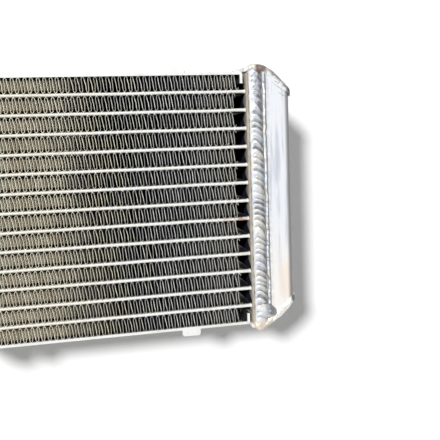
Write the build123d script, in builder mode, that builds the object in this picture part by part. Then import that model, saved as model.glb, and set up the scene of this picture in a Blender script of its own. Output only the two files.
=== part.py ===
"""A welded aluminium cross-flow radiator: a brazed core of flat tubes and folded fins between two tanks.

The frame is the installed one: X along the tubes, Y from the front face to the back, Z up, with the
origin at the centre of the core. The right-hand tank carries the outlet low down, and the left-hand
tank is the same tank turned half a turn about Y, so that it carries the inlet high up.
"""

from build123d import *
from math import pi, sqrt, tan
import os

# Core, in millimetres
core_depth = 32.0  # width of the tubes and fin strips, front to back
tube_count = 13
tube_pitch = 10.0
tube_thickness = 1.8
tube_wall = 0.4
tube_reach = 2.0  # how far each tube end stands inside the tank
fin_wall_count = 80  # upright walls in one folded strip
top_strip_extra_count = 3  # the top strip has this many walls more
fin_spacing = 1.8  # from one wall to the next
fin_sheet = 0.15
fin_end_gap = 6.3  # bare tube between a strip and the header
braze_gap = 0.02  # all round a tube in its header slot

# Side plates, which close the core above and below
plate_sheet = 1.4
plate_fold = 4.7  # height of the ends that are folded down over the last fin strip
plate_setback = 1.5  # from the header to the folded end
tongue_width = 14.0  # the middle of each end, which runs on to the header
tongue_slit = 0.6
lug_width = 10.2
lug_height = 3.6
lug_corner = 0.9
lug_from_right = 35.4  # from the right-hand header to the middle of the lug
lug_from_left = 11.0

# Headers and tanks
header_sheet = 1.5
header_lip = 2.0  # how far the header stands proud of the core, front and back
header_flange = 4.0
header_bend = 2.0
tank_sheet = 2.0
tank_depth = 24.5  # from the header's face to the outer wall
tank_bend = 3.0
cap_sheet = 2.5
cap_rim = 1.0  # how far a cap and the weld metal on its edge stand out past the tank
cap_flat_top = 11.0  # from the header to the knee of the upper end cap, where it starts to slope
cap_flat_bottom = 9.0
cap_bend = 7.0  # outer radius of that knee
cap_margin = 4.0  # from the side plate up to the top of the end cap

# Welds
seam_start = 0.9  # from the header's face
seam_width = 7.7
seam_height = 2.2
corner_run = 7.0  # fillet weld between a tongue and the header
corner_rise = 3.0
corner_width = 12.0

# Hose spigots
spigot_radius = 7.0
spigot_bore = 5.5
spigot_length = 22.0
spigot_weld = 1.3  # round its root, where the seam weld stops short of it
spigot_from_header = 13.0
spigot_from_end = 29.5  # from the end of the tank to a spigot's axis

# Places that follow from the sizes above
fin_height = tube_pitch - tube_thickness
plate_inside = (tube_count + 1) / 2 * tube_pitch - tube_thickness / 2
plate_outside = plate_inside + plate_sheet
strip_half = fin_wall_count * fin_spacing / 2
header_face = strip_half + fin_end_gap
header_width = core_depth + 2 * header_lip
half_width = header_width / 2
tank_top = plate_outside + cap_margin
header_half = tank_top - cap_sheet
tank_outside = header_face + tank_depth
spigot_level = tank_top - spigot_from_end
half_turn = (0, 180, 0)
top, bottom = 1, -1
cap_flat = {top: cap_flat_top, bottom: cap_flat_bottom}

os.makedirs("parts", exist_ok=True)


def keep(piece, name):
    """Labels a finished piece and writes it to a file of its own."""
    piece.part.label = name
    export_step(piece.part, f"parts/{name}.step")


def keep_turned(piece, name):
    """Writes a right-hand piece's left-hand twin, which is the same piece turned half a turn about Y."""
    with BuildPart() as twin:
        add(piece.part, rotation=half_turn)
    keep(twin, name)


def nose(thickness):
    """Chamfer that gives a flat tube of this thickness a regular, half-octagon edge."""
    return thickness * (1 - tan(pi / 8)) / 2


def fold_height():
    """Height of the sheet at a fold, measured straight up, that gives the sloping walls their thickness."""
    spacing, sheet, height = fin_spacing, fin_sheet, fin_height
    slant = sqrt((sheet * height) ** 2 + (spacing**2 - sheet**2) * (spacing**2 + height**2))
    return sheet * (slant - sheet * height) / (spacing**2 - sheet**2)


def tank_plan(grow=0.0):
    """Outline of a tank seen from above, bent at the outer wall and grown all round."""
    with BuildSketch() as plan:
        with Locations((header_face - grow, 0)):
            Rectangle(tank_depth + 2 * grow, header_width + 2 * grow, align=(Align.MIN, Align.CENTER))
        fillet(plan.vertices().group_by(Axis.X)[-1], tank_bend + grow)
    return plan.sketch


def nearest(outline, point, side):
    """The corner of an outline that lies at this point of a tank's upper or lower end."""
    x, z = point
    return outline.vertices().sort_by_distance((x, side * z))[0]


def slope_foot(side):
    """Height at which the 45 degree slope of an end cap meets the tank's outer wall."""
    return tank_top - (tank_depth - cap_flat[side])


def inner_knee(side):
    """Where an end cap's inside bends, in line with the bend outside it."""
    return header_face + cap_flat[side] - cap_sheet * tan(pi / 8)


def end_band(side):
    """Side view of an end cap, level at first and then sloping at 45 degrees."""
    edge = cap_rim + cap_sheet * sqrt(0.5)
    points = [
        (header_face - cap_rim, tank_top),
        (header_face + cap_flat[side], tank_top),
        (tank_outside + edge, slope_foot(side) - edge),
        (tank_outside + cap_rim, slope_foot(side) - cap_rim - cap_sheet * sqrt(2)),
        (inner_knee(side), header_half),
        (header_face - cap_rim, header_half),
    ]
    with BuildSketch(Plane.XZ) as band:
        with BuildLine():
            Polyline(*[(x, side * z) for x, z in points], close=True)
        make_face()
        fillet(nearest(band, points[1], side), cap_bend)
        fillet(nearest(band, points[4], side), cap_bend - cap_sheet)
    return band.sketch


def clear_of_caps():
    """Cuts the end caps' places out of the part that is being built."""
    for side in (top, bottom):
        extrude(end_band(side), amount=header_width, both=True, mode=Mode.SUBTRACT)


# Flat tubes, each with a chamfered nose front and back
for row in range(tube_count):
    level = (row - (tube_count - 1) / 2) * tube_pitch
    tube_half = header_face + header_sheet + tube_reach
    with BuildPart() as tube:
        with BuildSketch(Plane.YZ.offset(-tube_half)) as section:
            with Locations((0, level)):
                Rectangle(core_depth, tube_thickness)
                chamfer(section.vertices(), nose(tube_thickness))
                Rectangle(
                    core_depth - tube_thickness, tube_thickness - 2 * tube_wall, mode=Mode.SUBTRACT
                )
        extrude(amount=2 * tube_half)
    keep(tube, f"tube_{row + 1:02d}")

# Fin strips, folded to and fro between the tubes
for row in range(tube_count + 1):
    level = (row - tube_count / 2) * tube_pitch
    walls = fin_wall_count + (top_strip_extra_count if row == tube_count else 0)
    fold = fold_height()
    swing = (fin_height - fold) / 2
    ridge = [((i - walls / 2) * fin_spacing, level + (-1) ** i * swing) for i in range(walls + 1)]
    with BuildPart() as fin:
        with BuildSketch(Plane.XZ):
            with BuildLine():
                upper = [(x, z + fold / 2) for x, z in ridge]
                lower = [(x, z - fold / 2) for x, z in reversed(ridge)]
                Polyline(*upper, *lower, close=True)
            make_face()
        extrude(amount=core_depth / 2, both=True)
    keep(fin, f"fin_{row + 1:02d}")

# Side plates: the ends fold in either side of a tongue that reaches the header, and the lugs fold out
for side, word in ((top, "top"), (bottom, "bottom")):
    plate_half = header_face - plate_setback
    with BuildPart() as plate:
        with BuildSketch(Plane.XZ) as channel:
            with Locations((0, plate_outside)):
                Rectangle(2 * plate_half, plate_fold + plate_sheet, align=(Align.CENTER, Align.MAX))
            fillet(channel.vertices().group_by(Axis.Y)[-1], plate_sheet)
            with Locations((0, plate_inside)):
                Rectangle(
                    2 * (plate_half - plate_sheet),
                    plate_fold,
                    align=(Align.CENTER, Align.MAX),
                    mode=Mode.SUBTRACT,
                )
        extrude(amount=core_depth / 2, both=True)
        with Locations((0, 0, plate_inside)):
            Box(
                2 * plate_half,
                tongue_width + 2 * tongue_slit,
                plate_fold,
                align=(Align.CENTER, Align.CENTER, Align.MAX),
                mode=Mode.SUBTRACT,
            )
            Box(
                2 * header_face,
                tongue_width,
                plate_sheet,
                align=(Align.CENTER, Align.CENTER, Align.MIN),
            )
        with BuildSketch(Plane.XZ.offset(core_depth / 2)) as lugs:
            with Locations(
                (header_face - lug_from_right, plate_inside), (lug_from_left - header_face, plate_inside)
            ):
                Rectangle(lug_width, plate_sheet + lug_height, align=(Align.CENTER, Align.MIN))
            chamfer(lugs.vertices().group_by(Axis.Y)[-1], lug_corner)
        extrude(amount=-plate_sheet)
        if side == bottom:
            mirror(about=Plane.XY, mode=Mode.REPLACE)
    keep(plate, f"side_plate_{word}")

# Header: a channel whose web is slotted for the tubes
with BuildPart() as header:
    with BuildSketch(Plane.XY.offset(-header_half)) as channel:
        with Locations((header_face, 0)):
            Rectangle(header_flange, header_width, align=(Align.MIN, Align.CENTER))
        fillet(channel.vertices().group_by(Axis.X)[0], header_bend)
        with Locations((header_face + header_sheet, 0)):
            Rectangle(
                header_flange - header_sheet,
                header_width - 2 * header_sheet,
                align=(Align.MIN, Align.CENTER),
                mode=Mode.SUBTRACT,
            )
    extrude(amount=2 * header_half)
    with BuildSketch(Plane.YZ.offset(header_face)) as slots:
        with GridLocations(0, tube_pitch, 1, tube_count):
            Rectangle(core_depth + 2 * braze_gap, tube_thickness + 2 * braze_gap)
        chamfer(slots.vertices(), nose(tube_thickness + 2 * braze_gap))
    extrude(amount=header_sheet, mode=Mode.SUBTRACT)
    clear_of_caps()
keep(header, "header_right")
keep_turned(header, "header_left")

# Tank: sheet folded to a channel that butts on the header's flanges, with the spigot's hole in its back wall
with BuildPart() as tank:
    with BuildSketch(Plane.XZ) as side_view:
        with BuildLine():
            ends = [
                (x, side * z)
                for side in (top, bottom)
                for x, z in (
                    (header_face, header_half),
                    (inner_knee(side), header_half),
                    (tank_outside, slope_foot(side) - cap_sheet * sqrt(2)),
                )
            ]
            Polyline(*ends[:3], *reversed(ends[3:]), close=True)
        make_face()
        for side in (top, bottom):
            fillet(nearest(side_view, (inner_knee(side), header_half), side), cap_bend - cap_sheet)
    extrude(amount=half_width, both=True)
    extrude(tank_plan(), amount=tank_top, both=True, mode=Mode.INTERSECT)
    with BuildSketch() as hollow:
        with Locations((header_face, 0)):
            Rectangle(
                tank_depth - tank_sheet, header_width - 2 * tank_sheet, align=(Align.MIN, Align.CENTER)
            )
            Rectangle(header_flange, header_width, align=(Align.MIN, Align.CENTER))
    extrude(amount=tank_top, both=True, mode=Mode.SUBTRACT)
    with BuildSketch(Plane.XZ.offset(-half_width)):
        with Locations((header_face + spigot_from_header, -spigot_level)):
            Circle(spigot_bore)
    extrude(amount=tank_sheet, mode=Mode.SUBTRACT)
keep(tank, "tank_right")
keep_turned(tank, "tank_left")

# End caps, bent from plate, with a rim that the weld round each one has melted and thickened
for side, word, turned_word in ((top, "top", "bottom"), (bottom, "bottom", "top")):
    with BuildPart() as cap:
        extrude(end_band(side), amount=header_width, both=True)
        extrude(tank_plan(cap_rim), amount=tank_top, both=True, mode=Mode.INTERSECT)
    keep(cap, f"end_cap_right_{word}")
    keep_turned(cap, f"end_cap_left_{turned_word}")

# Seam welds, front and back, between a header and its tank
seam_drop = header_bend - sqrt(header_bend**2 - (header_bend - seam_start) ** 2)  # down the header's bend
for side, word in ((-1, "front"), (1, "back")):
    with BuildPart() as seam:
        with BuildSketch(Plane.XY.offset(-header_half)):
            with BuildLine():
                start = (header_face + seam_start, side * (half_width - seam_drop))
                crest = (header_face + seam_start + seam_width / 2, side * (half_width + seam_height))
                finish = (header_face + seam_start + seam_width, side * half_width)
                ThreePointArc(start, crest, finish)
                Line(finish, (header_face + header_bend, side * half_width))
                RadiusArc((header_face + header_bend, side * half_width), start, -side * header_bend)
            make_face()
        extrude(amount=2 * header_half)
        clear_of_caps()
        if word == "back":
            with BuildSketch(Plane.XZ.offset(-half_width)):
                with Locations((header_face + spigot_from_header, -spigot_level)):
                    Circle(spigot_radius + spigot_weld)
            extrude(amount=-2 * seam_height, mode=Mode.SUBTRACT)
    keep(seam, f"seam_weld_right_{word}")
    keep_turned(seam, f"seam_weld_left_{word}")

# Fillet welds between the side plates' tongues and the headers, up against the rims of the end caps
for side, word, turned_word in ((top, "top", "bottom"), (bottom, "bottom", "top")):
    outline = [
        (header_face - corner_run, plate_outside),
        (header_face - cap_rim, plate_outside + corner_rise),
        (header_face - cap_rim, header_half),
        (header_face, header_half),
        (header_face, plate_outside),
    ]
    with BuildPart() as corner:
        with BuildSketch(Plane.XZ):
            with BuildLine():
                Polyline(*[(x, side * z) for x, z in outline], close=True)
            make_face()
        extrude(amount=corner_width / 2, both=True)
    keep(corner, f"corner_weld_right_{word}")
    keep_turned(corner, f"corner_weld_left_{turned_word}")

# Hose spigot, a plain tube that butts on the tank's back wall
with BuildPart() as spigot:
    with BuildSketch(Plane.XZ.offset(-half_width)):
        with Locations((header_face + spigot_from_header, -spigot_level)):
            Circle(spigot_radius)
            Circle(spigot_bore, mode=Mode.SUBTRACT)
    extrude(amount=-spigot_length)
keep(spigot, "outlet_spigot")
keep_turned(spigot, "inlet_spigot")
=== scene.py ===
import math

import bpy
import numpy as np
from mathutils import Matrix, Vector


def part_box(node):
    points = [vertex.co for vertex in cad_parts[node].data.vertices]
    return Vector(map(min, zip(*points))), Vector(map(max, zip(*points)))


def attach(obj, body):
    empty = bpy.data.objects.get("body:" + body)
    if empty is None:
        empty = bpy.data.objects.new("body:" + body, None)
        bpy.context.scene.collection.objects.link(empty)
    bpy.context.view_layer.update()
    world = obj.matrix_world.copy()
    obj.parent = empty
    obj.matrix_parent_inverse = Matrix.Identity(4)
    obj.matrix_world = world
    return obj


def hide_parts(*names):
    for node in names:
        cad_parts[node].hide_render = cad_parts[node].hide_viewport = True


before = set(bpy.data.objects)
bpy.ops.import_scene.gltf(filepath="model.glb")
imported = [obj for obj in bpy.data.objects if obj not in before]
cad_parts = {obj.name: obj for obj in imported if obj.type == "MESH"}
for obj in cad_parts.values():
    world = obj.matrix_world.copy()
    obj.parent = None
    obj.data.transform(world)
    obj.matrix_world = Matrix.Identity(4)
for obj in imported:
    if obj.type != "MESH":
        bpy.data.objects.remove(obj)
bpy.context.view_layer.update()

# Sizes repeated from the part's source, in millimetres
CORE_HALF = 16.0
TUBE_COUNT = 13
TUBE_PITCH = 10.0
TUBE_THICKNESS = 1.8
TUBE_HALF = 81.8
FIN_HEIGHT = 8.2
HEADER_FACE = 78.3
HEADER_BEND = 2.0
HEADER_HALF = 72.0
HALF_WIDTH = 18.0
TANK_TOP = 74.5
TANK_OUTSIDE = 102.8
TANK_BEND = 3.0
CAP_RIM = 1.0
CAP_FLAT_TOP = 11.0
CAP_FLAT_BOTTOM = 9.0
CAP_BEND = 7.0
SPIGOT_RADIUS = 7.0
SPIGOT_X = 91.3
SPIGOT_LEVEL = 45.0
FLOOR_Y = 40.0

# Sizes measured on the photograph, in millimetres
FIN_SPACING = 1.6
FIN_SHEET = 0.31  # drawn thicker than real sheet, so that its bright edges show
FIN_CREST = 0.74  # half the width of a fold
FIN_ARCH = 1.3  # height of a fold's round part
FIN_LEAN = 0.33  # how far each fold leans out of line
FIN_SPARE = 0.9  # how far the inner strips reach past their nodes, at each end
LOUVRE_PITCH = 1.25
LOUVRE_HALF = 0.64
LOUVRE_TILT = 27.0  # in degrees
LOUVRE_COUNT = 10  # on each half of a wall
RIPPLE_PITCH = 3.7
CAP_BEAD_TOP = 2.6  # width of the weld along an upper end cap's edge
CAP_BEAD_BOTTOM = 4.6


def srgb(red, green, blue):
    """Linear colour for a shader, from sRGB steps of 255."""
    steps = [v / 255 for v in (red, green, blue)]
    return tuple(v / 12.92 if v <= 0.04045 else ((v + 0.055) / 1.055) ** 2.4 for v in steps) + (1.0,)


WHITE = (1.0, 1.0, 1.0, 1.0)
SCORCHED = (srgb(80, 60, 52), srgb(142, 112, 98))


def feed(tree, socket, value):
    """Links a socket to another one, or sets it to a plain value."""
    if isinstance(value, bpy.types.NodeSocket):
        tree.links.new(value, socket)
    else:
        socket.default_value = value


def add_node(tree, kind, inputs=(), **settings):
    """A shader node with its settings, and its first inputs where they are given."""
    made = tree.nodes.new("ShaderNode" + kind)
    for name, value in settings.items():
        setattr(made, name, value)
    for index, value in enumerate(inputs):
        if value is not None:
            feed(tree, made.inputs[index], value)
    return made


class Finish:
    """A procedural material that is put together in a few lines, in model coordinates."""

    def __init__(self, name, **sockets):
        self.material = bpy.data.materials.new(name)
        self.material.use_nodes = True
        self.tree = self.material.node_tree
        self.shader = self.tree.nodes["Principled BSDF"]
        for socket, value in sockets.items():
            self.shader.inputs[socket.replace("_", " ")].default_value = value
        self.place = self.node("TexCoord").outputs["Object"]

    def node(self, kind, inputs=(), **settings):
        return add_node(self.tree, kind, inputs, **settings)

    def maths(self, operation, *values):
        return self.node("Math", values, operation=operation).outputs[0]

    def step(self, value, low, high):
        """0 below low and 1 above high, smooth between, or the other way round where low is the larger."""
        made = self.node("MapRange", (value,), interpolation_type="SMOOTHSTEP")
        flip = low > high
        feed(self.tree, made.inputs["From Min"], min(low, high))
        feed(self.tree, made.inputs["From Max"], max(low, high))
        made.inputs["To Min"].default_value = 1.0 if flip else 0.0
        made.inputs["To Max"].default_value = 0.0 if flip else 1.0
        return made.outputs["Result"]

    def mix(self, factor, low, high):
        made = self.node("Mix", data_type="RGBA")
        for index, value in ((0, factor), (6, low), (7, high)):
            feed(self.tree, made.inputs[index], value)
        return made.outputs[2]

    def stretched(self, x, y, z):
        return self.node("VectorMath", (self.place, (x, y, z)), operation="MULTIPLY").outputs[0]

    def noise(self, size_mm, detail, place=None):
        made = self.node("TexNoise")
        feed(self.tree, made.inputs["Vector"], place or self.place)
        made.inputs["Scale"].default_value = 1000 / size_mm
        made.inputs["Detail"].default_value = detail
        return made.outputs["Fac"]

    def axis(self, name):
        """A model coordinate in millimetres."""
        parts = self.node("SeparateXYZ", (self.place,))
        return self.maths("MULTIPLY", parts.outputs[name], 1000.0)

    def from_middle(self, name):
        """Distance in millimetres from the origin along one axis."""
        return self.maths("ABSOLUTE", self.axis(name))

    def in_row(self):
        """Height in millimetres over the middle of the row of fins that a point lies in."""
        raised = self.maths("ADD", self.axis("Z"), 10 * TUBE_PITCH)
        return self.maths("SUBTRACT", self.maths("MODULO", raised, TUBE_PITCH), TUBE_PITCH / 2)

    def spot(self, x, y, z, radius, ragged=0.4):
        """1 within a ragged ball about a point in millimetres, and 0 outside it."""
        centre = (x / 1000, y / 1000, z / 1000)
        away = self.node("VectorMath", (self.place, centre), operation="DISTANCE").outputs["Value"]
        frayed = self.maths("ADD", self.maths("MULTIPLY", away, 1000 / radius),
                            self.maths("MULTIPLY", self.noise(radius * 0.7, 4.0), ragged * 2))
        return self.step(frayed, 1.1 + ragged, 0.6 + ragged)

    def both(self, *values):
        """The product of two or more values, such as a mask that holds where all of them hold."""
        total = values[0]
        for value in values[1:]:
            total = self.maths("MULTIPLY", total, value)
        return total

    def bump(self, height, distance_mm, strength=1.0, under=None):
        made = self.node("Bump")
        made.inputs["Strength"].default_value = strength
        made.inputs["Distance"].default_value = distance_mm / 1000
        feed(self.tree, made.inputs["Height"], height)
        if under is not None:
            feed(self.tree, made.inputs["Normal"], under)
        return made.outputs["Normal"]

    def done(self, colour, rough=None, normal=None):
        feed(self.tree, self.shader.inputs["Base Color"], colour)
        if rough is not None:
            feed(self.tree, self.shader.inputs["Roughness"], rough)
        if normal is not None:
            feed(self.tree, self.shader.inputs["Normal"], normal)
        return self.material


def fin_finish():
    """Thin sheet with painted light and shade: painted light that makes it paler and warmer towards the
    left, painted shade on alternate walls, and painted shade between the walls.
    """
    f = Finish("fin_sheet", Metallic=0.2)
    dust = f.noise(9.0, 4.0)
    grain = f.noise(0.5, 3.0)
    # Painted light across the core: paler and warmer on the left, dimmer on the right, as light and
    # reflections fall on the walls
    place = f.maths("MULTIPLY_ADD", dust, 24.0, f.axis("X"))
    warm = f.step(place, 24.0, -22.0)
    tint = f.step(place, 52.0, 2.0)
    right = f.step(f.axis("X"), 38.0, 66.0)
    plain = f.mix(right, f.mix(tint, srgb(255, 255, 250), srgb(255, 248, 212)), srgb(221, 217, 202))
    sheet = f.mix(warm, plain, srgb(255, 252, 238))
    colour = f.mix(f.step(dust, 0.4, 0.7), sheet, f.mix(warm, srgb(214, 216, 214), srgb(240, 233, 214)))
    colour = f.mix(f.both(f.step(grain, 0.55, 0.8), 0.35), colour, srgb(245, 243, 238))
    # Painted shade on alternate walls and on the folds, carried by a value on each point
    dull = f.node("Attribute", attribute_name="soot_and_shade").outputs["Fac"]
    dim = f.mix(right, srgb(108, 113, 115), srgb(164, 165, 160))
    colour = f.mix(f.both(dull, 0.8), colour, f.mix(warm, dim, srgb(206, 199, 182)))
    # Painted shade on each wall's flank just behind its front edge
    depth = f.from_middle("Y")
    shaded_flank = f.both(f.step(depth, 15.95, 15.7), f.maths("MULTIPLY_ADD", warm, -0.85, 0.95))
    shade = f.mix(right, srgb(34, 35, 33), srgb(128, 128, 121))
    colour = f.mix(shaded_flank, colour, f.mix(warm, shade, srgb(190, 184, 166)))
    # Painted shade deeper in the core: near black in the middle, grey on the right, and pale beige painted
    # light on the left
    depth_light_and_shade = f.mix(warm, f.mix(right, srgb(10, 11, 12), srgb(84, 86, 83)), srgb(255, 248, 228))
    colour = f.mix(f.step(depth, 14.6, 12.4), colour, depth_light_and_shade)
    # Painted shade near the tubes, where one looks past the louvres into the dark of the folds
    level = f.maths("ABSOLUTE", f.in_row())
    fold = f.both(f.step(f.maths("MULTIPLY_ADD", warm, -1.2, level), 2.9, 3.7), f.step(depth, 15.5, 14.2))
    colour = f.mix(fold, colour, srgb(12, 13, 13))
    return f.done(colour, f.maths("MULTIPLY_ADD", dust, 0.25, 0.42), f.bump(grain, 0.03))


def tube_finish():
    """Bright tube noses, rust at the right end of one tube, and flat faces darkened by painted shade, paler
    towards the left.
    """
    f = Finish("tube_braze", Metallic=0.2)
    patch = f.noise(6.0, 4.0)
    speck = f.noise(0.7, 3.0)
    right = f.step(f.axis("X"), -40.0, 20.0)
    colour = f.mix(right, srgb(238, 235, 222), srgb(251, 250, 246))
    colour = f.mix(f.both(f.step(patch, 0.5, 0.8), 0.5), colour, srgb(212, 208, 196))
    colour = f.mix(f.both(f.step(speck, 0.6, 0.74), 0.6), colour, srgb(150, 145, 132))
    level = f.step(f.maths("ABSOLUTE", f.maths("ADD", f.axis("Z"), 10.0)), 2.4, 1.2)
    run = f.both(f.step(f.axis("X"), 58.0, 71.0), f.step(f.axis("X"), 79.0, 74.0), level,
                 f.step(f.axis("Y"), -9.0, -15.0))
    rust = f.both(f.both(run, f.step(f.noise(2.2, 5.0), 0.3, 0.58)), 0.9)
    colour = f.mix(rust, colour, f.mix(f.noise(1.2, 3.0), srgb(206, 160, 132), srgb(146, 98, 70)))
    # Painted shade on the flat faces seen between the fins, with paler painted light on the left
    deep = f.both(f.step(f.axis("Y"), -14.9, -13.4), f.step(f.axis("Y"), 15.4, 14.8))
    warm = f.step(f.axis("X"), 8.0, -30.0)
    face_light_and_shade = f.mix(warm, f.mix(patch, srgb(50, 45, 40), srgb(26, 27, 31)), srgb(176, 168, 150))
    colour = f.mix(deep, colour, face_light_and_shade)
    return f.done(colour, f.maths("MULTIPLY_ADD", patch, 0.3, 0.34), f.bump(speck, 0.06))


def weld_finish():
    """Weld metal, greyer where a mesh's value of soot and painted shade is high, and scorched at the upper
    corner.
    """
    f = Finish("weld_bead", Metallic=0.35)
    soot_and_shade = f.node("Attribute", attribute_name="soot_and_shade").outputs["Fac"]
    patch = f.noise(3.0, 4.0)
    fine = f.noise(0.5, 4.0)
    tone = f.maths("ADD", soot_and_shade, f.both(f.maths("SUBTRACT", patch, 0.5), 0.6))
    tone = f.maths("ADD", tone, f.both(f.maths("SUBTRACT", fine, 0.5), 0.6))
    bright = f.mix(f.step(f.noise(9.0, 2.0), 0.4, 0.6), srgb(226, 231, 239), srgb(236, 234, 228))
    colour = f.mix(f.step(tone, 0.0, 1.05), bright, srgb(116, 118, 121))
    low = f.step(f.axis("Z"), -67.5, -70.5)
    colour = f.mix(low, colour, f.mix(f.step(fine, 0.4, 0.7), srgb(240, 228, 212), srgb(196, 178, 158)))
    high = f.both(f.step(f.axis("Z"), 70.8, 72.4), f.step(patch, 0.3, 0.5))
    colour = f.mix(high, colour, srgb(224, 216, 206))
    heat = f.spot(86.4, -20.0, 72.4, 3.6, 0.5)
    colour = f.mix(f.both(heat, 0.85), colour, f.mix(fine, *SCORCHED))
    rough = f.maths("MULTIPLY_ADD", patch, 0.25, 0.3)
    return f.done(colour, rough, f.bump(fine, 0.1))


def tank_finish():
    """Sheet that was brushed upright, with hairlines, a warm tint low down and a few scratches."""
    f = Finish("tank_sheet", Metallic=0.3)
    hair = f.noise(0.28, 3.0, f.stretched(1.0, 1.0, 0.03))
    broad = f.noise(2.6, 3.0, f.stretched(1.0, 1.0, 0.08))
    across = f.from_middle("X")
    level = f.axis("Z")
    low = f.step(level, -5.0, -48.0)
    colour = f.mix(low, srgb(243, 246, 251), srgb(255, 252, 247))
    warm = f.both(f.step(level, -30.0, -42.0), f.step(level, -60.0, -52.0), f.step(across, 92.0, 96.0))
    colour = f.mix(f.both(warm, 0.5), colour, srgb(254, 232, 208))
    faint = f.maths("MULTIPLY_ADD", low, -0.7, 0.9)
    colour = f.mix(f.both(f.step(broad, 0.46, 0.72), faint), colour, srgb(204, 209, 221))
    colour = f.mix(f.both(f.step(hair, 0.5, 0.8), 0.3), colour, srgb(214, 215, 218))
    # Painted shade along the rounded bend of the tank's outer edge, which turns from the light
    edge = f.both(f.step(across, 99.0, 101.4), f.step(f.from_middle("Y"), 14.0, 15.2))
    colour = f.mix(f.both(edge, 0.85), colour, srgb(124, 122, 121))
    toe = f.both(f.step(across, 92.0, 89.4), f.step(f.noise(3.0, 3.0), 0.35, 0.6))
    colour = f.mix(f.both(toe, 0.35), colour, srgb(186, 182, 178))
    # Scratches that run along the slope of the upper end cap
    slant = f.maths("MULTIPLY_ADD", f.axis("X"), 0.7, level)
    broken = f.step(f.noise(1.1, 4.0), 0.36, 0.5)
    for place, near, far in ((129.4, 92.5, 100.2), (131.2, 93.5, 97.0), (126.6, 96.5, 101.0)):
        line = f.step(f.maths("ABSOLUTE", f.maths("SUBTRACT", slant, place)), 0.45, 0.1)
        mark = f.both(line, f.step(f.axis("X"), near, near + 0.8),
                      f.step(f.axis("X"), far, far - 0.8), broken)
        colour = f.mix(f.both(mark, 0.6), colour, srgb(120, 108, 92))
    rough = f.maths("MULTIPLY_ADD", hair, 0.18, f.maths("MULTIPLY_ADD", broad, 0.2, 0.26))
    return f.done(colour, rough, f.bump(hair, 0.02, 1.0, f.bump(broad, 0.05)))


def cap_finish():
    """Thick plate with pits and nicks, painted shade along the upper slope's rounded edge, and scorched at
    one corner.
    """
    f = Finish("cap_plate", Metallic=0.3)
    fine = f.noise(0.7, 5.0)
    lump = f.noise(2.4, 4.0)
    across = f.from_middle("X")
    front = f.step(f.axis("Y"), -16.5, -18.2)
    low = f.step(f.axis("Z"), 20.0, -20.0)
    inner = f.maths("MULTIPLY_ADD", f.step(across, 92.0, 86.0), 0.8, 0.2)
    colour = f.mix(low, srgb(240, 240, 238), srgb(252, 250, 245))
    colour = f.mix(f.both(low, inner, f.step(lump, 0.38, 0.6)), colour, srgb(220, 206, 190))
    colour = f.mix(f.both(low, f.step(fine, 0.56, 0.7)), colour, srgb(172, 164, 152))
    # How far a point lies under the outer face of the upper slope, times the square root of two
    under = f.maths("SUBTRACT", HEADER_FACE + CAP_FLAT_TOP + TANK_TOP, f.maths("ADD", across, f.axis("Z")))
    ragged = f.maths("ADD", f.maths("MULTIPLY_ADD", lump, 6.0, under), f.both(fine, 3.4))
    # Painted shade on the rounded edge of the upper slope, which turns away from the light
    dark = f.both(front, f.step(ragged, 7.2, 6.0), f.step(across, 88.5, 91.5))
    colour = f.mix(f.both(dark, f.maths("MULTIPLY_ADD", lump, 0.5, 0.5)), colour, srgb(84, 84, 82))
    nick_top = f.spot(103.4, -18.0, 59.6, 3.0)
    nick_low = f.spot(103.2, -18.5, -57.2, 2.6)
    pits = f.both(front, f.step(fine, 0.62, 0.75))
    for mask, share in ((nick_top, 0.85), (nick_low, 0.85), (pits, 0.35)):
        colour = f.mix(f.both(mask, share), colour, srgb(58, 60, 60))
    heat = f.spot(87.2, -19.5, 73.4, 3.4, 0.5)
    colour = f.mix(f.both(heat, 0.9), colour, f.mix(fine, *SCORCHED))
    rough = f.maths("MULTIPLY_ADD", lump, 0.35, 0.34)
    return f.done(colour, rough, f.bump(fine, 0.12, 1.0, f.bump(lump, 0.3)))


def header_finish():
    """A dull rim, and the header's face between the tubes, which falls into shade towards the back."""
    f = Finish("header_sheet", Metallic=0.0, Specular_IOR_Level=0.0)
    cloud = f.noise(4.0, 4.0)
    fine = f.noise(0.5, 3.0)
    level = f.from_middle("Z")
    colour = f.mix(f.step(cloud, 0.35, 0.7), srgb(178, 169, 156), srgb(206, 195, 179))
    between = f.both(f.step(f.axis("Y"), 17.2, 16.4), f.step(level, 65.2, 63.6))
    within = f.both(f.step(f.axis("Y"), -16.9, -15.6), between)
    face = f.mix(f.step(f.axis("Y"), -15.0, -9.0), srgb(166, 156, 144), srgb(112, 108, 104))
    colour = f.mix(within, colour, face)
    # The light that comes in past the rim ends in a wedge between two tubes, higher up in the lower rows
    place = f.maths("MULTIPLY_ADD", f.step(f.axis("Z"), 40.0, -40.0), -2.8, f.in_row())
    bulge = f.maths("POWER", f.maths("ABSOLUTE", f.both(place, 0.2)), 1.5)
    inward = f.maths("MULTIPLY_ADD", bulge, 7.0, f.axis("Y"))
    deep = f.both(f.step(inward, -11.4, -8.4), between, f.step(f.axis("Y"), -16.5, -15.9))
    colour = f.mix(deep, colour, srgb(34, 39, 53))
    return f.done(colour, f.maths("MULTIPLY_ADD", cloud, 0.2, 0.6), f.bump(fine, 0.05))


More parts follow.
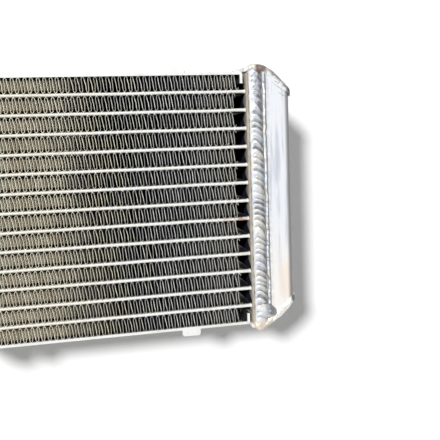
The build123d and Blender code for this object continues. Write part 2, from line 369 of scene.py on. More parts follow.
def plate_finish():
    """Pale sheet with small specks, and in shade on the inside."""
    f = Finish("plate_sheet", Metallic=0.2)
    cloud = f.noise(12.0, 4.0)
    hair = f.noise(0.4, 3.0, f.stretched(0.04, 1.0, 1.0))
    colour = f.mix(f.step(cloud, 0.4, 0.75), srgb(252, 252, 249), srgb(238, 237, 231))
    colour = f.mix(f.both(f.step(f.noise(1.4, 5.0), 0.63, 0.75), 0.5), colour, srgb(160, 158, 150))
    inside = f.both(f.step(f.from_middle("Z"), 69.6, 69.2), f.step(f.from_middle("Y"), 15.7, 14.0))
    colour = f.mix(inside, colour, srgb(58, 60, 62))
    return f.done(colour, f.maths("MULTIPLY_ADD", hair, 0.25, 0.34), f.bump(hair, 0.03))


def spigot_finish():
    """Bright tube with marks that run round it."""
    f = Finish("spigot_turned", Metallic=0.85)
    turned = f.noise(0.22, 2.0, f.stretched(0.02, 1.0, 0.02))
    cloud = f.noise(7.0, 3.0)
    colour = f.mix(f.step(cloud, 0.35, 0.7), srgb(232, 234, 237), srgb(205, 206, 208))
    return f.done(colour, f.maths("MULTIPLY_ADD", turned, 0.25, 0.2), f.bump(turned, 0.04))


def grid_faces(rows, columns, closed=True, start=0):
    """Quads of a grid of points held row by row; a closed grid joins each row's ends."""
    row = np.arange(rows - 1)[:, None] * columns
    column = np.arange(columns if closed else columns - 1)[None, :]
    beside = (column + 1) % columns
    corners = [row + column, row + beside, row + columns + beside, row + columns + column]
    return (start + np.stack(corners, -1).reshape(-1, 4)).tolist()


def build(name, points, faces, finish, nodes=(), crease=None, values=None):
    """A piece of the model from points in millimetres, which rides on the body and replaces its nodes."""
    mesh = bpy.data.meshes.new(name)
    mesh.from_pydata((np.asarray(points, float).reshape(-1, 3) / 1000).tolist(), [], faces)
    mesh.polygons.foreach_set("use_smooth", [True] * len(mesh.polygons))
    if crease is not None:
        mesh.set_sharp_from_angle(angle=math.radians(crease))
    # Per-point values of soot and of painted shade, which the finishes read
    if values is not None:
        soot_and_shade = mesh.attributes.new("soot_and_shade", "FLOAT", "POINT")
        soot_and_shade.data.foreach_set("value", np.asarray(values, float).ravel())
    mesh.materials.append(finish)
    made = bpy.data.objects.new(name, mesh)
    bpy.context.scene.collection.objects.link(made)
    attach(made, "root")
    if nodes:
        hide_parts(*nodes)
    return made


def loft(name, loops, finish, nodes=(), crease=None, values=None):
    """A closed piece through rings of points, each ring with as many points as the next."""
    loops = np.asarray(loops, float)
    rows, columns = loops.shape[:2]
    faces = grid_faces(rows, columns)
    faces.append(list(range(columns))[::-1])
    faces.append(list(range((rows - 1) * columns, rows * columns)))
    return build(name, loops, faces, finish, nodes, crease, values)


def lumps(points, size, seed):
    """Smooth noise between about -1 and 1 at each point, with swells of about this size in millimetres."""
    source = np.random.default_rng(seed)
    points = np.asarray(points, float)
    total = np.zeros(points.shape[:-1])
    waves = 14
    for _ in range(waves):
        way = source.normal(size=3)
        way *= source.uniform(0.6, 1.5) * math.pi / size / np.linalg.norm(way)
        total += np.sin(points @ way + source.uniform(0, 2 * math.pi))
    return total / math.sqrt(waves)


def wander(values, size, seed):
    """Smooth noise along a line."""
    values = np.asarray(values, float)
    return lumps(np.stack([values, 0 * values, 0 * values], -1), size, seed)


def ribbon(line, thickness, front, back):
    """Points and faces of a bent sheet: a line in XZ, thickened and run from front to back."""
    line = np.asarray(line)
    along = np.gradient(line, axis=0)
    across = np.stack([-along[:, 1], along[:, 0]], -1)
    across /= np.linalg.norm(across, axis=1)[:, None]
    ring = np.concatenate([line + across * thickness / 2, (line - across * thickness / 2)[::-1]])
    depths = np.linspace(front, back, 4)
    points = [[(x, y, z) for x, z in ring] for y in depths]
    count, half = len(ring), len(line)
    faces = grid_faces(len(depths), count)
    for start in (0, count * (len(depths) - 1)):
        for i in range(half - 1):
            quad = [start + i, start + i + 1, start + count - 2 - i, start + count - 1 - i]
            faces.append(quad if start == 0 else quad[::-1])
    return np.asarray(points).reshape(-1, 3), faces


def tube_level(row):
    """Height of a tube's middle, counted from the lowest tube, which is row 0."""
    return (row - (TUBE_COUNT - 1) / 2) * TUBE_PITCH


def fin_strip(row, name, finish):
    """One strip of folded and louvred sheet, and where its folds are and which of them are upper ones."""
    source = np.random.default_rng(100 + row)
    low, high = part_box(name)
    spare = FIN_SPARE if 0 < row < TUBE_COUNT else 0.0
    left, right = low.x * 1000 - spare, high.x * 1000 + spare
    middle = (low.z + high.z) * 500
    walls = round((right - left - 2 * FIN_CREST) / FIN_SPACING)
    side = np.where((np.arange(walls + 1) + row) % 2 == 0, 1.0, -1.0)
    first = left + FIN_CREST + FIN_SHEET + FIN_LEAN * max(side[0], 0.0)
    last = right - FIN_CREST - FIN_SHEET - FIN_LEAN * max(-side[-1], 0.0)
    crest_x = np.linspace(first, last, walls + 1) - FIN_LEAN * side
    crest_x[1:-1] += source.normal(0, 0.06, walls - 1) + 0.2 * wander(crest_x[1:-1], 11.0, 300 + row)
    reach = FIN_HEIGHT / 2 - 0.02
    radius = np.clip(source.normal(FIN_CREST, 0.06, walls + 1), 0.55, FIN_CREST)
    points, faces, shades, count = [], [], [], 0
    front, back = -CORE_HALF, CORE_HALF

    def put(new_points, new_faces):
        nonlocal count
        points.append(new_points)
        # Folds get a painted shade value too
        shades.append(np.full(len(new_points), 0.75))
        faces.extend([[count + i for i in face] for face in new_faces])
        count += len(new_points)

    arc = np.linspace(math.pi, 0.0, 7)
    straight = reach - FIN_ARCH
    margin = 0.05
    wall_ends = []
    for i in range(walls):
        start = np.array([crest_x[i] + radius[i], side[i] * straight])
        finish_at = np.array([crest_x[i + 1] - radius[i + 1], side[i + 1] * straight])
        wall_ends.append((start, finish_at))
    for i in range(walls + 1):
        line = [(crest_x[i] + radius[i] * math.cos(a),
                 side[i] * (straight + (FIN_ARCH - FIN_SHEET / 2) * math.sin(a))) for a in arc]
        if i > 0:
            start, finish_at = wall_ends[i - 1]
            line.insert(0, tuple(finish_at + margin * (start - finish_at)))
        if i < walls:
            start, finish_at = wall_ends[i]
            line.append(tuple(start + margin * (finish_at - start)))
        pts, fcs = ribbon(line, FIN_SHEET, front, back)
        pts[:, 2] += middle
        put(pts, fcs)

    # Flat margins at the front, middle and back of each wall, with tilted louvres between
    tilt = math.radians(LOUVRE_TILT)
    edge, first_louvre = 0.65, 2.1
    slats = [(-CORE_HALF + edge, edge, 0.0)]
    slats += [(-CORE_HALF + first_louvre + LOUVRE_PITCH * i, LOUVRE_HALF, -tilt)
              for i in range(LOUVRE_COUNT)]
    slats += [(-0.2, 1.1, 0.0)]
    slats += [(first_louvre + LOUVRE_PITCH * i, LOUVRE_HALF, tilt)
              for i in range(LOUVRE_COUNT)]
    slats += [(CORE_HALF - edge, edge, 0.0)]
    centre_y, half, angle = (np.array(v)[None, :] for v in zip(*slats))
    ends = np.array([[s + margin * (e - s), e + margin * (s - e)] for s, e in wall_ends])
    along = ends[:, 1] - ends[:, 0]
    across = np.stack([-along[:, 1], along[:, 0]], -1)
    across /= np.linalg.norm(across, axis=1)[:, None]
    across *= np.where(across[:, :1] < 0, -1.0, 1.0)
    open_out = np.interp(ends[:, 0, 0], [-34.0, -8.0], [1.0, 0.0])[:, None]
    turned = angle * (1 + 0.35 * open_out) + source.normal(0, 0.05, (walls, len(slats)))
    half = half * (1 + 0.3 * open_out * (np.abs(angle) > 0))
    bow = source.normal(0.1, 0.1, walls)
    # Painted shade value for each wall: the walls on one side of each fold are dimmer, as though turned from
    # the light, and some more at random
    dull = np.clip(0.1 + 0.6 * (side[:-1] < 0) + source.normal(0, 0.16, walls), 0, 1)
    corners = [(-1, -1), (1, -1), (1, 1), (-1, 1)]
    # Walls bow in the front half only, so the louvres behind are straight
    for part, stations in ((slice(0, 12), 3), (slice(12, None), 2)):
        mid_y, length, lean = centre_y[:, part], half[:, part], turned[:, part]
        cells = np.zeros((walls, lean.shape[1], stations, 4, 3))
        for s in range(stations):
            share = s / (stations - 1)
            spot = ends[:, 0] * (1 - share) + ends[:, 1] * share
            swell = bow * 4 * share * (1 - share)
            for c, (lengthwise, outward) in enumerate(corners):
                y = mid_y + lengthwise * length * np.cos(lean) - outward * FIN_SHEET / 2 * np.sin(lean)
                out = lengthwise * length * np.sin(lean) + outward * FIN_SHEET / 2 * np.cos(lean)
                fade = np.exp(-(y + CORE_HALF) / 4.0)
                cells[:, :, s, c, 0] = spot[:, :1] + across[:, :1] * out + swell[:, None] * fade
                cells[:, :, s, c, 1] = y
                cells[:, :, s, c, 2] = middle + spot[:, 1:] + across[:, 1:] * out
        total = walls * lean.shape[1]
        firsts = count + (np.arange(total) * stations * 4)[:, None, None]
        placed = firsts + np.array(grid_faces(stations, 4))[None]
        points.append(cells.reshape(-1, 3))
        shades.append(np.repeat(dull, lean.shape[1] * stations * 4))
        faces.extend(placed.reshape(-1, 4).tolist())
        count += total * stations * 4
    points = np.concatenate(points)
    shades = np.concatenate(shades)
    # Each strip also winds a little to the right and back to the left on its way from front to back
    points[:, 0] += 0.8 * np.interp(points[:, 1], [-16.0, -5.3, 5.3, 16.0], [0.0, 1.0, -1.0, 0.0])
    points[:, 0] = np.clip(points[:, 0], left, right)
    points[:, 1] = np.clip(points[:, 1], front, back)
    build(f"louvred_{name}", points, faces, finish, [name], values=shades)
    return crest_x, side


def tube_piece(row, name, finish):
    """A flat tube with round noses, slightly wavy, with a braze fillet where it enters each header."""
    level = tube_level(row)
    straight = HEADER_FACE - 1.7
    near_header = [HEADER_FACE + x for x in (-1.1, -0.6, -0.2, 0.1, 1.3)] + [TUBE_HALF]
    xs = np.unique(np.concatenate([
        np.linspace(-straight, straight, 70),
        [side * x for side in (-1, 1) for x in near_header],
    ]))
    half_t = TUBE_THICKNESS / 2
    arc = np.linspace(-math.pi / 2, math.pi / 2, 9)
    section = [(CORE_HALF - half_t + half_t * math.cos(a), half_t * math.sin(a)) for a in arc]
    section += [(-y, -z) for y, z in section]
    section = np.array(section)
    loops = []
    for x in xs:
        fade = min(1.0, max(0.0, (straight - abs(x)) / 5))
        dz = 0.07 * fade * wander([x], 14.0, 500 + row)[0]
        outside = HEADER_FACE - abs(x)
        grow = 0.45 * math.exp(-max(0.0, outside - 0.1) / 0.45) if outside > 0 else 0.0
        scale = np.array([(CORE_HALF + grow * 0.4) / CORE_HALF, (half_t + grow) / half_t])
        ring = section * scale
        loops.append([(x, y, level + dz + z) for y, z in ring])
    return loft(f"round_{name}", loops, finish, [name], crease=60)


def braze_dots(row, contacts, finish):
    """Small fillets of braze where the folds of the strips above and below touch a tube's nose."""
    level = tube_level(row)
    points, faces = [], []
    ring = np.linspace(0, 2 * math.pi, 8, endpoint=False)
    source = np.random.default_rng(700 + row)
    for x, way in contacts:
        size = source.uniform(0.12, 0.34)
        z = level + way * (TUBE_THICKNESS / 2 - 0.02)
        start = len(points)
        points.append((x, -CORE_HALF + 0.02, z))
        for share, depth in ((0.75, 0.12), (1.1, 0.5)):
            points += [
                (x + size * 1.25 * share * math.cos(a), -CORE_HALF + depth, z + size * share * math.sin(a))
                for a in ring
            ]
        for i in range(8):
            j = (i + 1) % 8
            faces.append([start, start + 1 + i, start + 1 + j])
            faces.append([start + 1 + i, start + 9 + i, start + 9 + j, start + 1 + j])
    return build(f"braze_{row + 1:02d}", points, faces, finish)


def bead_height(u, z, seed):
    """Height and value of soot and painted shade of a rippled bead, across it (u from 0 to 1) and along it.
    """
    arch = (2.6 + 0.5 * wander(z, 15.0, seed + 3)) * (1 - np.abs(2 * u ** 0.8 - 1) ** 1.7) - 1.3 * u
    phase = (z - arch) / RIPPLE_PITCH - 0.00018 * z ** 2
    phase = phase + 0.3 * wander(z, 12.0, seed) + 0.1 * wander(z, 3.5, seed + 1)
    part = phase - np.floor(phase)
    # Each ripple's own number between 0 and 1
    odd = np.sin(np.floor(phase) * 12.9898 + seed) * 43758.5453
    odd = odd - np.floor(odd)
    tooth = np.clip(part / 0.72, 0, 1) ** 1.1 * (1 - np.clip((part - 0.72) / 0.28, 0, 1) ** 1.4)
    dome = np.clip(np.sin(math.pi * np.clip(u, 0, 1)), 0, 1) ** 0.7
    calm = np.interp(z, [-68.0, -65.0, 40.0, 56.0], [0.1, 1.0, 1.0, 0.4])
    swell = (0.7 + 0.4 * (odd - 0.5)) * (tooth - 0.4) * dome * calm
    height = dome * (1.5 + 0.12 * wander(z, 17.0, seed + 2) + swell)
    crescent = (0.3 + 0.6 * odd) * np.clip(1.2 - tooth * 1.25, 0, 1) * np.clip((u - 0.02) / 0.2, 0, 1) * calm
    # Painted shade on the bead's outer flank
    shaded_flank = (0.34 + 0.16 * np.clip((z - 40) / 20, 0, 1)) * np.clip((u - 0.6) / 0.25, 0, 1)
    toe = (0.55 + 0.4 * wander(z, 2.2, seed + 6)) * np.clip(1 - u / 0.07, 0, 1)
    streak = 0.16 * np.sin(20 * part + 3 * odd) * dome
    place = np.stack([u * 7.6, 0 * u, z], -1)
    mottle = (1 - calm) * (0.35 + 0.26 * lumps(place, 1.4, seed + 12)) * np.clip(u / 0.3, 0, 1) * (z > 0)
    return np.maximum(height, 0), 0.06 + crescent + shaded_flank + toe + streak + mottle


def worn_end(x, upper):
    """Height at which the weld leaves off over a tank's end, at x from the header, as ground and melted."""
    high = np.interp(x, [-1.0, 1.0, 3.5, 8.0, 10.0, 12.0, 15.0], [72.7, 73.5, 74.5, 74.0, 73.3, 72.3, 70.4])
    low = np.interp(x, [-1.0, 0.8, 3.4, 6.0, 9.0, 12.0, 16.0], [72.2, 72.6, 74.5, 73.7, 71.8, 69.7, 67.4])
    knee = np.where(upper, CAP_FLAT_TOP, CAP_FLAT_BOTTOM)
    return np.minimum(np.where(upper, high, low), TANK_TOP - np.clip(x - knee, 0, None))


def end_distance(x, z):
    """How far a point of a tank's front lies inside the outline of its upper and lower ends."""
    return worn_end(x, z > 0) - np.abs(z)


def seam_bead(name, side, turned, step, finish, gap=None):
    """The rippled bead between a header and its tank, with the narrow ridge that runs beside its toe."""
    seed = 40 + len(name) * 3 + (7 if turned else 0) + (3 if side > 0 else 0)
    top = TANK_TOP - 0.05
    zs = np.arange(-top, top + step / 2, step)
    start, width, far = 1.0, 7.6, 14.6
    us = np.concatenate([np.linspace(0, 1, 27), np.linspace(1.04, (far - start) / width, 22)])
    xs = start + us * width
    X, Z = np.meshgrid(xs, zs)
    U = (X - start) / width
    spots = np.stack([X, 0 * X, Z], -1)
    height, soot_and_shade = bead_height(np.clip(U, 0, 1), Z, seed)
    centre = 9.7 + 0.3 * wander(Z, 9.0, seed + 5) + 0.14 * wander(Z, 3.0, seed + 6)
    tall = 0.55 + 0.2 * wander(Z, 4.0, seed + 7)
    ridge = tall * np.clip(1 - ((X - centre) / 0.62) ** 2, 0, 1) ** 0.6
    height = np.where(U < 1, height, -0.25)
    height = np.maximum(height, np.where(ridge > 0, ridge, -0.25))
    height = np.where((X > 8.3) & (X < 11.2), np.maximum(height, 0.02), height)
    soot_and_shade = np.where(U < 1, soot_and_shade, 0.1)
    # Painted shade in the grooves on either side of the ridge
    soot_and_shade = np.maximum(soot_and_shade, 1.1 * np.exp(-((X - centre + 0.95) / 0.36) ** 2))
    soot_and_shade = np.maximum(soot_and_shade, 1.1 * np.exp(-((X - centre - 0.92) / 0.36) ** 2))
    link = np.sin(2 * math.pi * (Z / 3.1 + 0.3 * (X - centre)) + 1.6 * wander(Z, 4.0, seed + 11))
    plait = np.interp(Z, [-20.0, 30.0], [1.0, 0.3])
    braid = 0.6 * plait * np.clip(-1.3 * link - 0.4, 0, 1)
    soot_and_shade = np.where(ridge > 0.2, 0.16 + 0.2 * wander(Z, 2.0, seed + 8) + braid, soot_and_shade)
    # The last of the weld is a smooth ball on one end, where the arc was held
    lean = Z + 62.8 + 0.28 * (X - 8.0)
    ball = np.sqrt(((X - 7.8) / 6.2) ** 2 + (lean / 4.0) ** 2)
    uneven = 0.12 * lumps(spots, 3.0, seed + 4) * (ball < 0.97)
    lift = 2.15 * np.sqrt(np.clip(1 - ball ** 2, 0, 1)) + uneven
    on_ball = (lift > height - 0.1) & (ball < 1)
    # Painted light on the ball: a painted glint, painted shade on its side away from the header, and painted
    # shade in a band just above it
    glint = np.exp(-((X - 9.4) / 0.7) ** 2 - ((lean - 0.3) / 0.4) ** 2)
    grey = 0.14 + 0.66 * np.clip((X - 5.6) / 4.2, 0, 1) * np.clip((lean + 3.4) / 2.0, 0, 1) - 0.6 * glint
    soot_and_shade = np.where(on_ball, grey, soot_and_shade)
    soot_and_shade = np.where(~on_ball & (ball < 1.12) & (lean > 0) & (X > 6.5), 0.9, soot_and_shade)
    height = np.where(on_ball, np.maximum(height, lift), height)
    # Both ends run out over the edge of the end cap
    inside = end_distance(X, Z)
    lump = lumps(spots, 2.6, seed + 9)
    over = np.clip((4.2 - inside) / 1.6, 0, 1) * (1.25 + 0.16 * lump) * np.clip((12.5 - X) / 2.5, 0, 1)
    over = over * np.clip(np.clip(X - 0.4, 0, None) / 1.6, 0, 1) ** 0.5
    over = np.where(over > 0.03, over, -0.25)
    soot_and_shade = np.where(over > height, 0.3 + 0.15 * lump, soot_and_shade)
    height = np.maximum(height, over)
    rounding = np.sqrt(np.clip(1 - (1 - np.clip(inside / 2.2, 0, 1)) ** 2, 0, 1))
    height = np.where(inside < 2.2, height * (0.35 + 0.65 * rounding), height)
    height += 0.05 * lumps(spots, 1.1, seed + 10) * (height > 0.05)
    height = np.clip(height, -0.3, 2.18)
    bend = np.sqrt(np.clip(HEADER_BEND ** 2 - (HEADER_BEND - X) ** 2, 0, None))
    inset = np.where(X < HEADER_BEND, HEADER_BEND - bend, 0)
    Y = HALF_WIDTH - inset + height
    if gap is not None:
        away = np.hypot(X - (SPIGOT_X - HEADER_FACE), Z - gap)
        Y = np.where(away < SPIGOT_RADIUS + 0.9, HALF_WIDTH - 0.3, Y)
    last = worn_end(X, Z > 0) - 0.05
    Z = np.clip(Z, -last, last)
    grid = np.stack([HEADER_FACE + X, side * Y, Z], -1)
    low_y = side * (HALF_WIDTH - 0.9)
    under = np.stack([
        np.stack([HEADER_FACE + X[:, -1], np.full(len(zs), low_y), Z[:, -1]], -1),
        np.stack([HEADER_FACE + X[:, 0] + 0.7, np.full(len(zs), low_y), Z[:, 0]], -1),
    ], 1)
    loops = np.concatenate([grid, under], 1)
    soot_and_shade_values = np.concatenate([soot_and_shade, np.zeros((len(zs), 2))], 1)
    if turned:
        loops = loops * np.array([-1, 1, -1])
    if (side > 0) != turned:
        loops, soot_and_shade_values = loops[:, ::-1], soot_and_shade_values[:, ::-1]
    return loft(f"rippled_{name}", loops, finish, [name], values=soot_and_shade_values)


def cap_outline(flat, spacing):
    """Points along the outer face of an upper end cap in side view, with the way inward at each."""
    half = math.pi / 8
    trim = CAP_BEND * math.tan(half)
    knee = np.array([HEADER_FACE + flat, TANK_TOP])
    level = [(np.array([HEADER_FACE + x, TANK_TOP]), np.array([0.0, -1.0]))
             for x in np.arange(6.5, flat - trim, spacing)]
    centre = knee + np.array([-trim, -CAP_BEND])
    ways = [np.array([math.sin(a), math.cos(a)]) for a in np.linspace(0, math.pi / 4, 12)]
    bend = [(centre + CAP_BEND * way, -way) for way in ways]
    reach_out = TANK_OUTSIDE + CAP_RIM - knee[0]
    down, inward = np.array([1.0, -1.0]), np.array([-1.0, -1.0]) / math.sqrt(2)
    first = trim / math.sqrt(2)
    slope = [(knee + down * s, inward) for s in np.arange(first + spacing, reach_out, spacing * 0.7)]
    return level + bend + slope


def edge_bead(name, end, side, turned, finish):
    """The low, lumpy weld that was run along the edge of an end cap and dressed flat."""
    flat = CAP_FLAT_TOP if end > 0 else CAP_FLAT_BOTTOM
    seed = 900 + 10 * (end > 0) + 5 * (side > 0) + 3 * turned
    spacing = 0.35
    path = cap_outline(flat, spacing)
    wide, tall, soft = (CAP_BEAD_TOP, 1.25, 0.6) if end > 0 else (CAP_BEAD_BOTTOM, 0.85, 1.0)
    shares = np.linspace(0, 1, 17)
    loops = []
    for count, (place, inward) in enumerate(path):
        fade = min(1.0, (count + 1) / 8)
        breadth = wide * (1 + 0.16 * wander([count * spacing], 6.0, seed)[0])
        ring = []
        for share in shares:
            x, z = place + inward * breadth * share
            x = min(x, TANK_OUTSIDE + CAP_RIM - 0.02)
            z = min(z, float(worn_end(x - HEADER_FACE, end > 0)) - 0.05)
            spot = np.array([x, 0.0, z])
            lump = lumps(spot, 2.0, seed + 1) * 0.2 + lumps(spot, 0.9, seed + 2) * 0.07
            dome = math.sin(math.pi * min(1.0, 0.09 + 0.91 * share ** 0.8)) ** soft if share < 1 else 0.0
            turn_in = max(0.0, x - (TANK_OUTSIDE - TANK_BEND))
            bend = TANK_BEND + CAP_RIM * dome
            back = bend - math.sqrt(max(0.0, bend ** 2 - min(turn_in, bend) ** 2))
            y = HALF_WIDTH - 0.25 + (tall + lump) * dome * fade - back
            ring.append((x, side * y, end * z))
        x, z = place + inward * breadth * 0.5
        ring.append((min(x, TANK_OUTSIDE), side * (HALF_WIDTH - 2.6), end * z))
        loops.append(ring)
    loops = np.array(loops)
    if turned:
        loops = loops * np.array([-1, 1, -1])
    if (side > 0) != (end > 0):
        loops = loops[:, ::-1]
    return loft(name, loops, finish)


def remeshed(node, size_mm):
    """Points and faces of a CAD node, evenly remeshed."""
    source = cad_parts[node]
    work = bpy.data.objects.new("work", source.data.copy())
    bpy.context.scene.collection.objects.link(work)
    change = work.modifiers.new("even", "REMESH")
    change.mode = "VOXEL"
    change.voxel_size = size_mm / 1000
    shown = work.evaluated_get(bpy.context.evaluated_depsgraph_get())
    mesh = shown.to_mesh()
    points = np.zeros(len(mesh.vertices) * 3)
    mesh.vertices.foreach_get("co", points)
    faces = [list(p.vertices) for p in mesh.polygons]
    edges = np.zeros(len(mesh.edges) * 2, int)
    mesh.edges.foreach_get("vertices", edges)
    shown.to_mesh_clear()
    used = work.data
    bpy.data.objects.remove(work)
    bpy.data.meshes.remove(used)
    return points.reshape(-1, 3) * 1000, faces, edges.reshape(-1, 2)


def relaxed(points, edges, times, share):
    """Points after some rounds of moving each towards the middle of its neighbours."""
    degree = np.bincount(edges.ravel(), minlength=len(points)).astype(float)[:, None]
    for _ in range(times):
        total = np.zeros_like(points)
        np.add.at(total, edges[:, 0], points[edges[:, 1]])
        np.add.at(total, edges[:, 1], points[edges[:, 0]])
        points = points + (total / np.maximum(degree, 1) - points) * share
    return points


def lumpy(name, node, finish, slot, size, voxel, rounds, keep=None):
    """A CAD node with softened edges and an uneven surface, inside the node's own box."""
    points, faces, edges = remeshed(node, voxel)
    low, high = (np.array(corner) * 1000 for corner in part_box(node))
    soft = relaxed(points, edges, rounds, 0.5)
    centre = soft.mean(0)
    smooth = relaxed(soft, edges, 8, 0.5)
    outward = soft - smooth
    uneven = lumps(soft, size, len(node) + int(abs(centre[0]) + centre[2]))[:, None]
    finer = lumps(soft, size * 0.4, 5)[:, None]
    worn = 1.0 if keep is None else keep(soft)[:, None]
    shift = (0.22 * uneven + 0.09 * finer) * worn
    away = soft - np.array([centre[0], 0, centre[2]])
    away /= np.maximum(np.linalg.norm(away, axis=1)[:, None], 1e-6)
    made = soft + away * shift + outward * 0.6 * worn
    made = np.clip(made, low, high)
    if slot == "tank":
        # An end cap is drawn in to the worn outline, and its rim makes room for the weld along its edge
        turn = np.sign(centre[0]) * np.array([1.0, 0.0, 1.0]) + np.array([0.0, 1.0, 0.0])
        made = made * turn
        x = made[:, 0] - HEADER_FACE
        upper = made[:, 2] > 0
        knee = np.where(upper, CAP_FLAT_TOP, CAP_FLAT_BOTTOM)
        spare = TANK_TOP - np.clip(x - knee, 0, None) - worn_end(x, upper)
        made[:, 2] -= np.where(upper, 1.0, -1.0) * spare
        made[:, 1] = np.clip(made[:, 1], -HALF_WIDTH - 0.3, HALF_WIDTH + 0.3)
        made = made * turn
    return build(name, made, faces, finish, [node])


def rim_only(points):
    """1 on the welded rim of an end cap, and little on its broad faces."""
    edge = np.clip((np.abs(points[:, 1]) - 13.5) / 3.0, 0, 1)
    outer = np.clip((np.abs(points[:, 0]) - 98.5) / 3.0, 0, 1)
    return 0.12 + 0.88 * np.maximum(edge, outer)


def ring_bead(name, side, finish):
    """The rippled ring of weld round a spigot's root."""
    turns, around = 150, 12
    angles = np.linspace(0, 2 * math.pi, turns, endpoint=False)
    loops = []
    for a in angles:
        ripple = (a * 16 / math.pi) % 1.0
        size = 1.25 + 0.22 * (ripple ** 0.7) + 0.06 * math.sin(3 * a + 1)
        ring = []
        for b in np.linspace(0, 2 * math.pi, around, endpoint=False):
            out = SPIGOT_RADIUS + 0.25 + size * math.cos(b)
            x = side * (SPIGOT_X + out * math.cos(a))
            y = HALF_WIDTH + size * 0.9 * math.sin(b) * (1 if math.sin(b) > 0 else 0.3)
            z = -side * SPIGOT_LEVEL + out * math.sin(a)
            ring.append((x, y, z))
        loops.append(ring)
    loops = np.array(loops)
    faces = grid_faces(turns + 1, around)
    count = turns * around
    faces = [[i % count for i in face] for face in faces]
    soot_and_shade = np.repeat([0.25 + 0.35 * (1 - (a * 16 / math.pi) % 1.0) for a in angles], around)
    return build(name, loops, faces, finish, values=soot_and_shade)


# Camera, solved from the photograph's tubes, headers and rims
scene = bpy.context.scene
camera = bpy.data.objects.new("camera", bpy.data.cameras.new("camera"))
scene.collection.objects.link(camera)
camera.data.lens = 51.62
camera.data.sensor_width = 36.0
camera.data.clip_start = 0.01
camera.data.clip_end = 20.0
right = Vector((0.976, -0.2145, -0.037))
up = Vector((0.0616, 0.1094, 0.9921))
ahead = Vector((0.2087, 0.9706, -0.1199))
turn = Matrix((right, up, -ahead)).transposed().to_quaternion()
camera.rotation_mode = "QUATERNION"
camera.rotation_quaternion = turn.normalized()
camera.location = (-0.01158, -0.35546, 0.03209)
scene.camera = camera
scene.view_settings.view_transform = "Standard"

# Stage: the object lies on a pale floor that the camera looks down on, so it is the plane behind
AMBIENT = 0.19
LIGHT = 0.9
FLOOR_GLOW = 1.02 - LIGHT
FLOOR_REACH = 2.5
FLOOR_GAP = 0.0005
floor_mesh = bpy.data.meshes.new("floor")
corners = [(x * FLOOR_REACH, 0, z * FLOOR_REACH) for x, z in ((-1, -1), (1, -1), (1, 1), (-1, 1))]
floor_mesh.from_pydata(corners, [], [(0, 1, 2, 3)])
floor = bpy.data.objects.new("floor", floor_mesh)
floor.location.y = FLOOR_Y / 1000 + FLOOR_GAP
scene.collection.objects.link(floor)
pale = bpy.data.materials.new("floor_paper")
pale.use_nodes = True
tree = pale.node_tree
tree.nodes.clear()
seen = add_node(tree, "LightPath").outputs["Is Camera Ray"]
glow_level = add_node(tree, "Math", (seen, FLOOR_GLOW), operation="MULTIPLY").outputs[0]
glow = add_node(tree, "Emission", (WHITE, glow_level)).outputs[0]
paper = add_node(tree, "BsdfDiffuse", (WHITE,)).outputs[0]
lit = add_node(tree, "AddShader", (paper, glow)).outputs[0]
clear = add_node(tree, "BsdfTransparent").outputs[0]
behind = add_node(tree, "NewGeometry").outputs["Backfacing"]
either = add_node(tree, "MixShader", (behind, lit, clear)).outputs[0]
feed(tree, add_node(tree, "OutputMaterial").inputs["Surface"], either)
floor_mesh.materials.append(pale)
floor.visible_glossy = False
floor.visible_diffuse = False
floor.visible_shadow = False

# Light: an even white room, and a soft key from the upper left
world = bpy.data.worlds.new("room")
scene.world = world
world.use_nodes = True
tree = world.node_tree
rays = add_node(tree, "LightPath").outputs
seen = add_node(tree, "Math", (rays["Is Camera Ray"], rays["Is Glossy Ray"]), operation="MAXIMUM").outputs[0]
seen = add_node(tree, "Math", (seen, rays["Is Transmission Ray"]), operation="MAXIMUM").outputs[0]
level = add_node(tree, "MapRange", (seen,))
level.inputs["To Min"].default_value = AMBIENT
level.inputs["To Max"].default_value = 1.0
sky = tree.nodes["Background"]
feed(tree, sky.inputs["Color"], WHITE)
feed(tree, sky.inputs["Strength"], level.outputs["Result"])

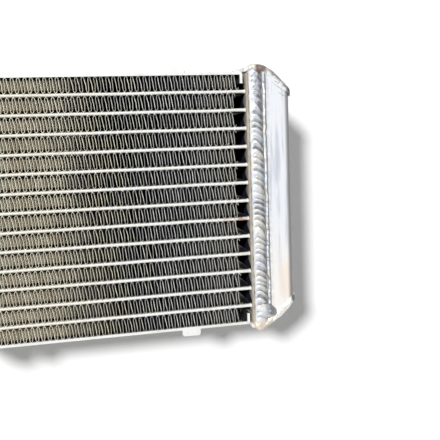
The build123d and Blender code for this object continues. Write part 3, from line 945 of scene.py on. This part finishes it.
key = bpy.data.lights.new("key", "SUN")
key_way = Vector((0.54, 1.0, -0.44)).normalized()
key.energy = (LIGHT - AMBIENT) * math.pi / key_way.y
key.angle = math.radians(8.5)
key_lamp = bpy.data.objects.new("key", key)
key_lamp.rotation_mode = "QUATERNION"
key_lamp.rotation_quaternion = key_way.to_track_quat("-Z", "Y")
scene.collection.objects.link(key_lamp)

# Finishes of the CAD nodes that keep their shapes
fins = fin_finish()
tubes = tube_finish()
welds = weld_finish()
caps = cap_finish()
kept = {
    "tank_left": tank_finish(), "header_left": header_finish(),
    "side_plate_top": plate_finish(), "inlet_spigot": spigot_finish(),
}
kept.update({
    "tank_right": kept["tank_left"], "header_right": kept["header_left"],
    "side_plate_bottom": kept["side_plate_top"], "outlet_spigot": kept["inlet_spigot"],
})
for name, finish in kept.items():
    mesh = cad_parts[name].data
    mesh.materials.clear()
    mesh.materials.append(finish)

# Core
touches = {row: [] for row in range(TUBE_COUNT)}
for row in range(TUBE_COUNT + 1):
    crest_x, side = fin_strip(row, f"fin_{row + 1:02d}", fins)
    for x, way in zip(crest_x, side):
        tube = row if way > 0 else row - 1
        if 0 <= tube < TUBE_COUNT:
            touches[tube].append((x, -way))
for row in range(TUBE_COUNT):
    tube_piece(row, f"tube_{row + 1:02d}", tubes)
    braze_dots(row, touches[row], tubes)

# Welds and end caps
seam_bead("seam_weld_right_front", -1, False, 0.2, welds)
seam_bead("seam_weld_right_back", 1, False, 0.42, welds, gap=-SPIGOT_LEVEL)
seam_bead("seam_weld_left_front", -1, True, 0.42, welds)
seam_bead("seam_weld_left_back", 1, True, 0.42, welds, gap=-SPIGOT_LEVEL)
ring_bead("ring_bead_outlet", 1, welds)
ring_bead("ring_bead_inlet", -1, welds)

for word in ("left_top", "left_bottom", "right_top", "right_bottom"):
    fineness = 0.45 if "right" in word else 0.65
    lumpy(f"lumpy_end_cap_{word}", f"end_cap_{word}", caps, "tank", 3.4, fineness, 4, rim_only)
    lumpy(f"lumpy_corner_weld_{word}", f"corner_weld_{word}", welds, "weld", 2.4, 0.3, 6)
for end, word in ((1, "top"), (-1, "bottom")):
    for side, face in ((-1, "front"), (1, "back")):
        edge_bead(f"cap_bead_right_{word}_{face}", end, side, False, caps)
        edge_bead(f"cap_bead_left_{word}_{face}", -end, side, True, caps)
